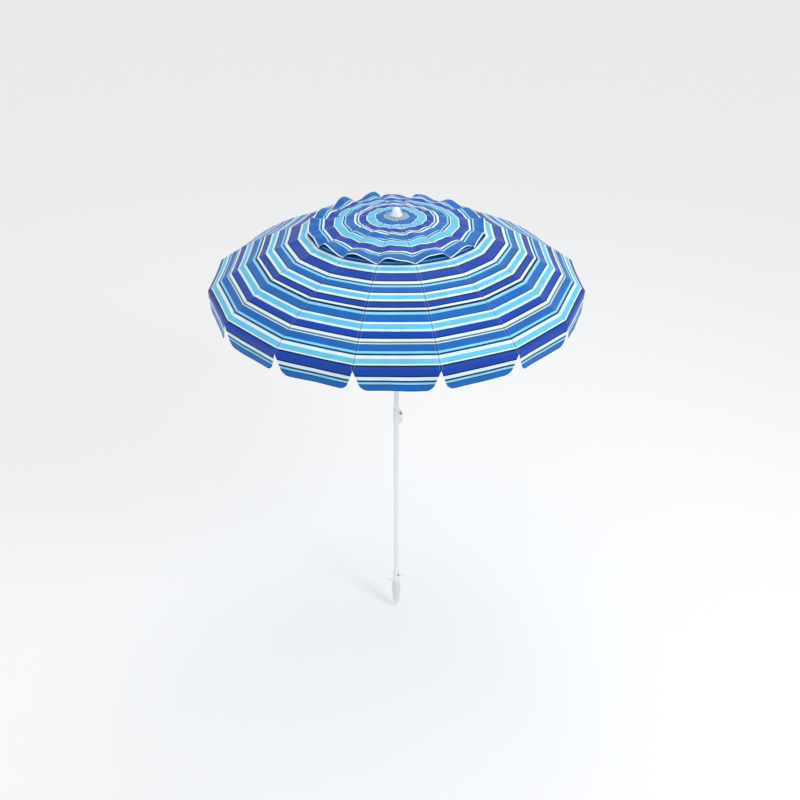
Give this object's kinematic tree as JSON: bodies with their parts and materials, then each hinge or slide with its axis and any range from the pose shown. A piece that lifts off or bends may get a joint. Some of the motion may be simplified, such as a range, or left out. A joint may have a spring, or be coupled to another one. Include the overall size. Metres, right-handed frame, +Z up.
{
  "type": "beach umbrella",
  "caption": "Beach umbrella with a wide striped vented canopy on arched ribs, a sliding runner, a tilting pole and a screw-in sand anchor.",
  "frame": {"origin": "on the pole's axis at the sand line, just above the top turn of the sand anchor's screw", "axes": "+Z up along the pole; +X the way the canopy tilts, with the tilt pin along Y; a gore faces -Y"},
  "size_m": [1.8118, 1.8118, 2.6315],
  "materials": {
    "white_steel": "gloss powder coat",
    "white_plastic": "moulded satin",
    "bare_steel": "zinc plated",
    "dark_steel": "black oxide",
    "rib_rod": "white fibreglass",
    "canopy_cloth": "striped woven polyester",
    "vent_cloth": "striped woven polyester"
  },
  "bodies": {
    "pole_base": {"ground_auger": "white_steel", "anchor_collar": "white_plastic", "collar_bolt": "dark_steel", "lower_pole": "white_steel", "tilt_socket": "white_plastic", "tilt_pin": "dark_steel", "lever_pin": "bare_steel", "lever_spring": "bare_steel"},
    "t_bar": {"t_bar": "white_steel", "t_bar_caps": "white_plastic"},
    "tilt_lever": {"tilt_lever": "white_plastic"},
    "mast": {"tilt_head": "white_plastic", "upper_pole": "white_steel", "runner_catch": "bare_steel", "top_hub": "white_plastic", "hub_ring": "bare_steel", "pole_plug": "white_plastic", "finial_stud": "bare_steel", "finial_washer": "white_plastic", "finial": "white_plastic", "canopy": "canopy_cloth", "vent_canopy": "vent_cloth"},
    "runner": {"runner": "white_plastic", "runner_ring": "bare_steel"},
    "rib_1": {"rib_1": "rib_rod"},
    "rib_2": {"rib_2": "rib_rod"},
    "rib_3": {"rib_3": "rib_rod"},
    "rib_4": {"rib_4": "rib_rod"},
    "rib_5": {"rib_5": "rib_rod"},
    "rib_6": {"rib_6": "rib_rod"},
    "rib_7": {"rib_7": "rib_rod"},
    "rib_8": {"rib_8": "rib_rod"},
    "rib_9": {"rib_9": "rib_rod"},
    "rib_10": {"rib_10": "rib_rod"},
    "rib_11": {"rib_11": "rib_rod"},
    "rib_12": {"rib_12": "rib_rod"},
    "rib_13": {"rib_13": "rib_rod"},
    "rib_14": {"rib_14": "rib_rod"},
    "rib_15": {"rib_15": "rib_rod"},
    "rib_16": {"rib_16": "rib_rod"},
    "stretcher_1": {"stretcher_1": "white_steel"},
    "stretcher_2": {"stretcher_2": "white_steel"},
    "stretcher_3": {"stretcher_3": "white_steel"},
    "stretcher_4": {"stretcher_4": "white_steel"},
    "stretcher_5": {"stretcher_5": "white_steel"},
    "stretcher_6": {"stretcher_6": "white_steel"},
    "stretcher_7": {"stretcher_7": "white_steel"},
    "stretcher_8": {"stretcher_8": "white_steel"},
    "stretcher_9": {"stretcher_9": "white_steel"},
    "stretcher_10": {"stretcher_10": "white_steel"},
    "stretcher_11": {"stretcher_11": "white_steel"},
    "stretcher_12": {"stretcher_12": "white_steel"},
    "stretcher_13": {"stretcher_13": "white_steel"},
    "stretcher_14": {"stretcher_14": "white_steel"},
    "stretcher_15": {"stretcher_15": "white_steel"},
    "stretcher_16": {"stretcher_16": "white_steel"}
  },
  "joints": [
    {"name": "pole_tilt", "type": "hinge", "parent": "pole_base", "child": "mast", "pos_m": [0.0253, 0, 1.224], "axis": [0, 1, 0], "range_deg": [0, 40]},
    {"name": "canopy_fold", "type": "hinge", "parent": "mast", "child": "rib_1", "pos_m": [0.0255, 0.00507, 2.35559], "axis": [-0.1951, 0.9808, 0], "range_deg": [0, 65.5], "deforming": ["canopy", "vent_canopy", "runner_catch"]},
    {"name": "rib_2_fold", "type": "hinge", "parent": "mast", "child": "rib_2", "pos_m": [0.02162, 0.01444, 2.35559], "axis": [-0.5556, 0.8315, 0], "range_deg": [0, 65.5]},
    {"name": "rib_3_fold", "type": "hinge", "parent": "mast", "child": "rib_3", "pos_m": [0.01444, 0.02162, 2.35559], "axis": [-0.8315, 0.5556, 0], "range_deg": [0, 65.5]},
    {"name": "rib_4_fold", "type": "hinge", "parent": "mast", "child": "rib_4", "pos_m": [0.00507, 0.0255, 2.35559], "axis": [-0.9808, 0.1951, 0], "range_deg": [0, 65.5]},
    {"name": "rib_5_fold", "type": "hinge", "parent": "mast", "child": "rib_5", "pos_m": [-0.00507, 0.0255, 2.35559], "axis": [-0.9808, -0.1951, 0], "range_deg": [0, 65.5]},
    {"name": "rib_6_fold", "type": "hinge", "parent": "mast", "child": "rib_6", "pos_m": [-0.01444, 0.02162, 2.35559], "axis": [-0.8315, -0.5556, 0], "range_deg": [0, 65.5]},
    {"name": "rib_7_fold", "type": "hinge", "parent": "mast", "child": "rib_7", "pos_m": [-0.02162, 0.01444, 2.35559], "axis": [-0.5556, -0.8315, 0], "range_deg": [0, 65.5]},
    {"name": "rib_8_fold", "type": "hinge", "parent": "mast", "child": "rib_8", "pos_m": [-0.0255, 0.00507, 2.35559], "axis": [-0.1951, -0.9808, 0], "range_deg": [0, 65.5]},
    {"name": "rib_9_fold", "type": "hinge", "parent": "mast", "child": "rib_9", "pos_m": [-0.0255, -0.00507, 2.35559], "axis": [0.1951, -0.9808, 0], "range_deg": [0, 65.5]},
    {"name": "rib_10_fold", "type": "hinge", "parent": "mast", "child": "rib_10", "pos_m": [-0.02162, -0.01444, 2.35559], "axis": [0.5556, -0.8315, 0], "range_deg": [0, 65.5]},
    {"name": "rib_11_fold", "type": "hinge", "parent": "mast", "child": "rib_11", "pos_m": [-0.01444, -0.02162, 2.35559], "axis": [0.8315, -0.5556, 0], "range_deg": [0, 65.5]},
    {"name": "rib_12_fold", "type": "hinge", "parent": "mast", "child": "rib_12", "pos_m": [-0.00507, -0.0255, 2.35559], "axis": [0.9808, -0.1951, 0], "range_deg": [0, 65.5]},
    {"name": "rib_13_fold", "type": "hinge", "parent": "mast", "child": "rib_13", "pos_m": [0.00507, -0.0255, 2.35559], "axis": [0.9808, 0.1951, 0], "range_deg": [0, 65.5]},
    {"name": "rib_14_fold", "type": "hinge", "parent": "mast", "child": "rib_14", "pos_m": [0.01444, -0.02162, 2.35559], "axis": [0.8315, 0.5556, 0], "range_deg": [0, 65.5]},
    {"name": "rib_15_fold", "type": "hinge", "parent": "mast", "child": "rib_15", "pos_m": [0.02162, -0.01444, 2.35559], "axis": [0.5556, 0.8315, 0], "range_deg": [0, 65.5]},
    {"name": "rib_16_fold", "type": "hinge", "parent": "mast", "child": "rib_16", "pos_m": [0.0255, -0.00507, 2.35559], "axis": [0.1951, 0.9808, 0], "range_deg": [0, 65.5]},
    {"name": "stretcher_1_fold", "type": "hinge", "parent": "rib_1", "child": "stretcher_1", "pos_m": [0.46549, 0.09259, 2.26788], "axis": [-0.1951, 0.9808, 0], "range_deg": [-131, 0]},
    {"name": "stretcher_2_fold", "type": "hinge", "parent": "rib_2", "child": "stretcher_2", "pos_m": [0.39462, 0.26368, 2.26788], "axis": [-0.5556, 0.8315, 0], "range_deg": [-131, 0]},
    {"name": "stretcher_3_fold", "type": "hinge", "parent": "rib_3", "child": "stretcher_3", "pos_m": [0.26368, 0.39462, 2.26788], "axis": [-0.8315, 0.5556, 0], "range_deg": [-131, 0]},
    {"name": "stretcher_4_fold", "type": "hinge", "parent": "rib_4", "child": "stretcher_4", "pos_m": [0.09259, 0.46549, 2.26788], "axis": [-0.9808, 0.1951, 0], "range_deg": [-131, 0]},
    {"name": "stretcher_5_fold", "type": "hinge", "parent": "rib_5", "child": "stretcher_5", "pos_m": [-0.09259, 0.46549, 2.26788], "axis": [-0.9808, -0.1951, 0], "range_deg": [-131, 0]},
    {"name": "stretcher_6_fold", "type": "hinge", "parent": "rib_6", "child": "stretcher_6", "pos_m": [-0.26368, 0.39462, 2.26788], "axis": [-0.8315, -0.5556, 0], "range_deg": [-131, 0]},
    {"name": "stretcher_7_fold", "type": "hinge", "parent": "rib_7", "child": "stretcher_7", "pos_m": [-0.39462, 0.26368, 2.26788], "axis": [-0.5556, -0.8315, 0], "range_deg": [-131, 0]},
    {"name": "stretcher_8_fold", "type": "hinge", "parent": "rib_8", "child": "stretcher_8", "pos_m": [-0.46549, 0.09259, 2.26788], "axis": [-0.1951, -0.9808, 0], "range_deg": [-131, 0]},
    {"name": "stretcher_9_fold", "type": "hinge", "parent": "rib_9", "child": "stretcher_9", "pos_m": [-0.46549, -0.09259, 2.26788], "axis": [0.1951, -0.9808, 0], "range_deg": [-131, 0]},
    {"name": "stretcher_10_fold", "type": "hinge", "parent": "rib_10", "child": "stretcher_10", "pos_m": [-0.39462, -0.26368, 2.26788], "axis": [0.5556, -0.8315, 0], "range_deg": [-131, 0]},
    {"name": "stretcher_11_fold", "type": "hinge", "parent": "rib_11", "child": "stretcher_11", "pos_m": [-0.26368, -0.39462, 2.26788], "axis": [0.8315, -0.5556, 0], "range_deg": [-131, 0]},
    {"name": "stretcher_12_fold", "type": "hinge", "parent": "rib_12", "child": "stretcher_12", "pos_m": [-0.09259, -0.46549, 2.26788], "axis": [0.9808, -0.1951, 0], "range_deg": [-131, 0]},
    {"name": "stretcher_13_fold", "type": "hinge", "parent": "rib_13", "child": "stretcher_13", "pos_m": [0.09259, -0.46549, 2.26788], "axis": [0.9808, 0.1951, 0], "range_deg": [-131, 0]},
    {"name": "stretcher_14_fold", "type": "hinge", "parent": "rib_14", "child": "stretcher_14", "pos_m": [0.26368, -0.39462, 2.26788], "axis": [0.8315, 0.5556, 0], "range_deg": [-131, 0]},
    {"name": "stretcher_15_fold", "type": "hinge", "parent": "rib_15", "child": "stretcher_15", "pos_m": [0.39462, -0.26368, 2.26788], "axis": [0.5556, 0.8315, 0], "range_deg": [-131, 0]},
    {"name": "stretcher_16_fold", "type": "hinge", "parent": "rib_16", "child": "stretcher_16", "pos_m": [0.46549, -0.09259, 2.26788], "axis": [0.1951, 0.9808, 0], "range_deg": [-131, 0]},
    {"name": "runner_travel", "type": "hinge", "parent": "stretcher_1", "child": "runner", "pos_m": [0.0255, 0.00507, 2.18016], "axis": [-0.1951, 0.9808, 0], "range_deg": [0, 65.5]},
    {"name": "tilt_lever_press", "type": "hinge", "parent": "pole_base", "child": "tilt_lever", "pos_m": [0.0288, 0, 1.194], "axis": [0, 1, 0], "range_deg": [0, 6], "stiffness_Nm_per_rad": 0.2, "springref_deg": -2.86, "deforming": ["lever_spring"]},
    {"name": "t_bar_slide", "type": "slide", "parent": "pole_base", "child": "t_bar", "axis": [0.891, 0.454, 0], "range_m": [-0.018, 0.018]}
  ],
  "couplings": [
    {"joint": "rib_2_fold", "follows": "canopy_fold", "ratio": 1},
    {"joint": "rib_3_fold", "follows": "canopy_fold", "ratio": 1},
    {"joint": "rib_4_fold", "follows": "canopy_fold", "ratio": 1},
    {"joint": "rib_5_fold", "follows": "canopy_fold", "ratio": 1},
    {"joint": "rib_6_fold", "follows": "canopy_fold", "ratio": 1},
    {"joint": "rib_7_fold", "follows": "canopy_fold", "ratio": 1},
    {"joint": "rib_8_fold", "follows": "canopy_fold", "ratio": 1},
    {"joint": "rib_9_fold", "follows": "canopy_fold", "ratio": 1},
    {"joint": "rib_10_fold", "follows": "canopy_fold", "ratio": 1},
    {"joint": "rib_11_fold", "follows": "canopy_fold", "ratio": 1},
    {"joint": "rib_12_fold", "follows": "canopy_fold", "ratio": 1},
    {"joint": "rib_13_fold", "follows": "canopy_fold", "ratio": 1},
    {"joint": "rib_14_fold", "follows": "canopy_fold", "ratio": 1},
    {"joint": "rib_15_fold", "follows": "canopy_fold", "ratio": 1},
    {"joint": "rib_16_fold", "follows": "canopy_fold", "ratio": 1},
    {"joint": "stretcher_1_fold", "follows": "canopy_fold", "ratio": -2},
    {"joint": "stretcher_2_fold", "follows": "canopy_fold", "ratio": -2},
    {"joint": "stretcher_3_fold", "follows": "canopy_fold", "ratio": -2},
    {"joint": "stretcher_4_fold", "follows": "canopy_fold", "ratio": -2},
    {"joint": "stretcher_5_fold", "follows": "canopy_fold", "ratio": -2},
    {"joint": "stretcher_6_fold", "follows": "canopy_fold", "ratio": -2},
    {"joint": "stretcher_7_fold", "follows": "canopy_fold", "ratio": -2},
    {"joint": "stretcher_8_fold", "follows": "canopy_fold", "ratio": -2},
    {"joint": "stretcher_9_fold", "follows": "canopy_fold", "ratio": -2},
    {"joint": "stretcher_10_fold", "follows": "canopy_fold", "ratio": -2},
    {"joint": "stretcher_11_fold", "follows": "canopy_fold", "ratio": -2},
    {"joint": "stretcher_12_fold", "follows": "canopy_fold", "ratio": -2},
    {"joint": "stretcher_13_fold", "follows": "canopy_fold", "ratio": -2},
    {"joint": "stretcher_14_fold", "follows": "canopy_fold", "ratio": -2},
    {"joint": "stretcher_15_fold", "follows": "canopy_fold", "ratio": -2},
    {"joint": "stretcher_16_fold", "follows": "canopy_fold", "ratio": -2},
    {"joint": "runner_travel", "follows": "canopy_fold", "ratio": 1}
  ]
}
